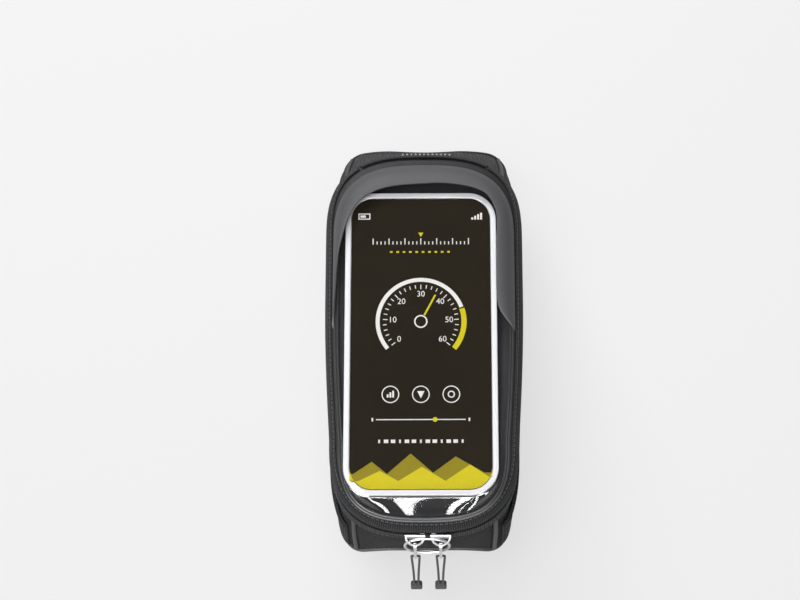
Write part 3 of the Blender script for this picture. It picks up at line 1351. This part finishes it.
def strap_section():
    """Once round the loop and over its top, the outer end lapped over the start."""
    r = LOOP_R + STRAP_THICK / 2 + LOOP_GAP
    line = arc(0.0, -LOOP_R, r, -120, 30, 30)
    line += [(15.5, -2.2), (12.5, -0.1), (9.0, 0.75), (0.0, 0.95), (-9.0, 0.75), (-12.5, -0.1), (-15.5, -2.2)]
    for a in range(150, 301, 5):
        out = r + (STRAP_THICK + 0.4) * smooth((a - 190) / 35.0)
        line.append((out * math.cos(math.radians(a)), -LOOP_R + out * math.sin(math.radians(a))))
    return line


def make_straps():
    for label, y in STRAP_Y.items():
        fine = round_line([(x, 0.0, z) for x, z in strap_section()], 3)
        edge = STRAP_WIDTH / 2
        rows = [[(p.x, y + w, p.z - 0.05) for p in fine] for w in np.linspace(edge, -edge, 13)]
        strap = cloth(label + "_band", rows, "bag", WEB, 0.0)
        thickened(strap, STRAP_THICK, 0.3, 2)
        stands_for(strap, "webbing", label)


# stage and light
SKY_SIDES, SKY_TOP = (0.08, 0.08, 0.08), (0.03, 0.03, 0.03)
SKY_FROM, SKY_TO = 0.8, 0.93
FLOOR_TONE, FLOOR_GLOW, FLOOR_SHARE = 0.9, 0.885, 0.75


def lamp(name, place, target, size, power):
    data = bpy.data.lights.new(name, "AREA")
    data.shape = "RECTANGLE"
    data.size, data.size_y = size
    data.energy = power
    light = bpy.data.objects.new(name, data)
    SCENE.collection.objects.link(light)
    light.location = place
    light.rotation_euler = (Vector(target) - Vector(place)).to_track_quat("-Z", "Y").to_euler()
    return light


class Room(Paint):
    """The world's own shader."""

    def __init__(self, name):
        self.world = bpy.data.worlds.new(name)
        self.world.use_nodes = True
        self.tree = self.world.node_tree
        self.shader = self.tree.nodes["Background"]


def studio_sky():
    """A soft pale room whose ceiling is dark where the clear window mirrors it."""
    room = Room("studio")
    SCENE.world = room.world
    height = {"Value": room.axes(room.place())[2], "From Min": SKY_FROM, "From Max": SKY_TO}
    room.set("Color", room.mix(room.node("ShaderNodeMapRange", height, "Result"), SKY_SIDES, SKY_TOP))


def make_floor():
    low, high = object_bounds()
    bpy.ops.mesh.primitive_plane_add(size=12.0, location=(0.0, 0.0, low.z - 0.0005))
    floor = bpy.context.object
    floor.name = "floor"
    paint = Paint("pale_floor", (FLOOR_TONE,) * 3, 0.9).set("Specular IOR Level", 0.0)
    glow = paint.node("ShaderNodeEmission", {"Color": (*(FLOOR_GLOW,) * 3, 1.0), "Strength": 1.0})
    camera, gloss, through = [paint.node("ShaderNodeLightPath", {}, "Is %s Ray" % kind)
                              for kind in ("Camera", "Glossy", "Transmission")]
    share = camera.at_least(gloss).at_least(through) * FLOOR_SHARE
    out = paint.tree.nodes["Material Output"]
    mixed = paint.node("ShaderNodeMixShader", {0: share, 1: Value(paint, paint.shader.outputs[0]), 2: glow})
    paint.put(out.inputs["Surface"], mixed)
    floor.data.materials.append(paint.mat)


# upright lamps behind the bag that only show as white bands in the window's slopes,
# each with its azimuth and width in degrees
BANDS = ((-44.0, 34.0), (-13.0, 3.5), (-3.4, 2.4), (6.5, 3.0), (11.5, 0.8), (20.0, 6.0), (42.0, 8.0))
BAND_GLOW = 12.0
BAND_AWAY, BAND_Y = 0.8, -0.1


def make_bands():
    for k, (azimuth, wide) in enumerate(BANDS):
        a = math.radians(azimuth)
        target = (0.0, BAND_Y, 0.07)
        for label, away, height, tall in (("low", 1.0, 0.5, 1.0), ("high", 0.55, 1.05, 0.55)):
            size = (BAND_AWAY * math.radians(wide), tall)
            place = (math.sin(a) * BAND_AWAY * away, BAND_Y - math.cos(a) * BAND_AWAY * away, height)
            power = BAND_GLOW * math.pi * size[0] * tall
            lamp("band_%s_%d" % (label, k), place, target, size, power).visible_diffuse = False


def make_stage():
    SCENE.view_settings.view_transform = "Standard"
    studio_sky()
    make_floor()
    middle = (0.0, 0.0, 0.05)
    lamp("front_softbox", (-0.35, 1.2, 1.1), middle, (1.0, 0.6), 20.0)
    lamp("fill", (-0.2, -0.2, 1.5), middle, (0.9, 0.9), 13.0).visible_glossy = False
    make_bands()


make_walls()
make_pipings()
make_base()
make_pockets()
make_lower_tape()
make_coils()
make_lid_ring()
make_hinge()
make_film()
make_visor()
make_insert()
make_print()
make_pocket()
make_metal()
make_straps()
make_stage()
